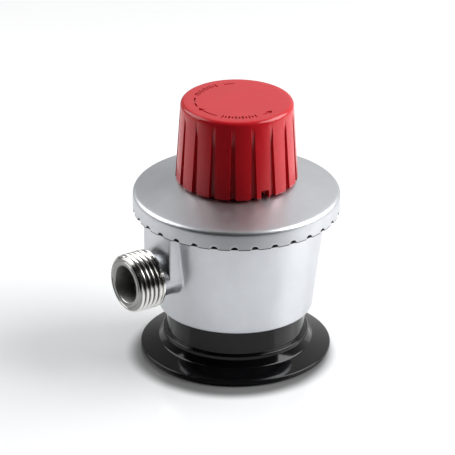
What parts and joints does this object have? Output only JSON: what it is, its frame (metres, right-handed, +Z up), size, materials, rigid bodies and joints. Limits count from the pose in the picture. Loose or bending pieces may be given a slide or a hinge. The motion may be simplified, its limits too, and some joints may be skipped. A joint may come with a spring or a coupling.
{
  "type": "clip-on gas cylinder regulator",
  "caption": "Low-pressure clip-on gas regulator: tapered cast body, crimped diaphragm cover, ribbed turn knob on top, sliding release ring below and a threaded side outlet.",
  "frame": {"origin": "bottom centre of the whole part's box, on the surface it stands on; the main axis is 5.2 mm along +X from it", "axes": "+Z up along the main axis, -X along the outlet"},
  "size_m": [0.0844, 0.074, 0.096],
  "materials": {
    "zinc": "light grey cast zinc alloy, satin with a fine grain",
    "nickel": "bright machined and nickel plated",
    "brass": "turned brass",
    "steel": "bright steel",
    "spring_steel": "spring steel",
    "red_plastic": "red moulded plastic, low gloss",
    "black_gloss": "gloss black",
    "white_plastic": "natural acetal",
    "rubber": "black nitrile rubber"
  },
  "bodies": {
    "regulator": {"body_casting": "zinc", "cover": "zinc", "outlet_nipple": "nickel", "ball_cage": "brass", "inlet_seal": "rubber", "cage_gasket": "rubber", "pin_gland": "brass", "pin_oring": "rubber", "orifice_jet": "brass", "lever_pin": "steel", "diaphragm": "rubber", "clamp_ring": "steel", "main_spring": "spring_steel", "adjusting_nut": "brass", "retaining_ring": "spring_steel", "stop_pin": "steel", "sleeve_spring": "spring_steel", "push_pin_spring": "spring_steel"},
    "knob": {"knob": "red_plastic", "cam_sleeve": "white_plastic"},
    "spindle": {"spindle": "steel", "cross_pin": "steel"},
    "push_pin": {"push_pin": "steel"},
    "sleeve": {"release_sleeve": "black_gloss"},
    "diaphragm_stack": {"diaphragm_plate": "steel", "diaphragm_washer": "steel", "diaphragm_hub": "brass", "hub_nut": "brass", "hub_oring": "rubber"},
    "lever": {"seat_lever": "steel", "seat_pad": "rubber"},
    "ball_1": {"ball_1": "steel"},
    "ball_2": {"ball_2": "steel"},
    "ball_3": {"ball_3": "steel"},
    "ball_4": {"ball_4": "steel"},
    "ball_5": {"ball_5": "steel"},
    "ball_6": {"ball_6": "steel"}
  },
  "joints": [
    {"name": "knob_turn", "type": "hinge", "parent": "regulator", "child": "knob", "pos_m": [0.0052, 0, 0.09], "axis": [0, 0, 1], "range_deg": [0, 120]},
    {"name": "spindle_slide", "type": "slide", "parent": "regulator", "child": "spindle", "axis": [0, 0, -1], "range_m": [0, 0.0035]},
    {"name": "pin_slide", "type": "slide", "parent": "regulator", "child": "push_pin", "axis": [0, 0, -1], "range_m": [0, 0.0035], "deforming": ["push_pin_spring"]},
    {"name": "sleeve_slide", "type": "slide", "parent": "regulator", "child": "sleeve", "axis": [0, 0, 1], "range_m": [0, 0.007], "stiffness_N_per_m": 1500, "springref_m": -0.01, "deforming": ["sleeve_spring"]},
    {"name": "diaphragm_slide", "type": "slide", "parent": "regulator", "child": "diaphragm_stack", "axis": [0, 0, 1], "range_m": [0, 0.0025], "stiffness_N_per_m": 2000, "springref_m": -0.008, "deforming": ["main_spring", "diaphragm"]},
    {"name": "lever_turn", "type": "hinge", "parent": "regulator", "child": "lever", "pos_m": [0.0172, 0, 0.0486], "axis": [0, 1, 0], "range_deg": [0, 12]},
    {"name": "ball_1_slide", "type": "slide", "parent": "regulator", "child": "ball_1", "axis": [1, 0, 0], "range_m": [0, 0.0016]},
    {"name": "ball_2_slide", "type": "slide", "parent": "regulator", "child": "ball_2", "axis": [0.5, 0.866, 0], "range_m": [0, 0.0016]},
    {"name": "ball_3_slide", "type": "slide", "parent": "regulator", "child": "ball_3", "axis": [-0.5, 0.866, 0], "range_m": [0, 0.0016]},
    {"name": "ball_4_slide", "type": "slide", "parent": "regulator", "child": "ball_4", "axis": [-1, 0, 0], "range_m": [0, 0.0016]},
    {"name": "ball_5_slide", "type": "slide", "parent": "regulator", "child": "ball_5", "axis": [-0.5, -0.866, 0], "range_m": [0, 0.0016]},
    {"name": "ball_6_slide", "type": "slide", "parent": "regulator", "child": "ball_6", "axis": [0.5, -0.866, 0], "range_m": [0, 0.0016]}
  ],
  "couplings": [
    {"joint": "spindle_slide", "follows": "knob_turn", "m_per_rad": 0.00167},
    {"joint": "pin_slide", "follows": "knob_turn", "m_per_rad": 0.00167},
    {"joint": "lever_turn", "follows": "diaphragm_slide", "rad_per_m": 83.3},
    {"joint": "ball_1_slide", "follows": "sleeve_slide", "ratio": 0.2285},
    {"joint": "ball_2_slide", "follows": "sleeve_slide", "ratio": 0.2285},
    {"joint": "ball_3_slide", "follows": "sleeve_slide", "ratio": 0.2285},
    {"joint": "ball_4_slide", "follows": "sleeve_slide", "ratio": 0.2285},
    {"joint": "ball_5_slide", "follows": "sleeve_slide", "ratio": 0.2285},
    {"joint": "ball_6_slide", "follows": "sleeve_slide", "ratio": 0.2285}
  ]
}
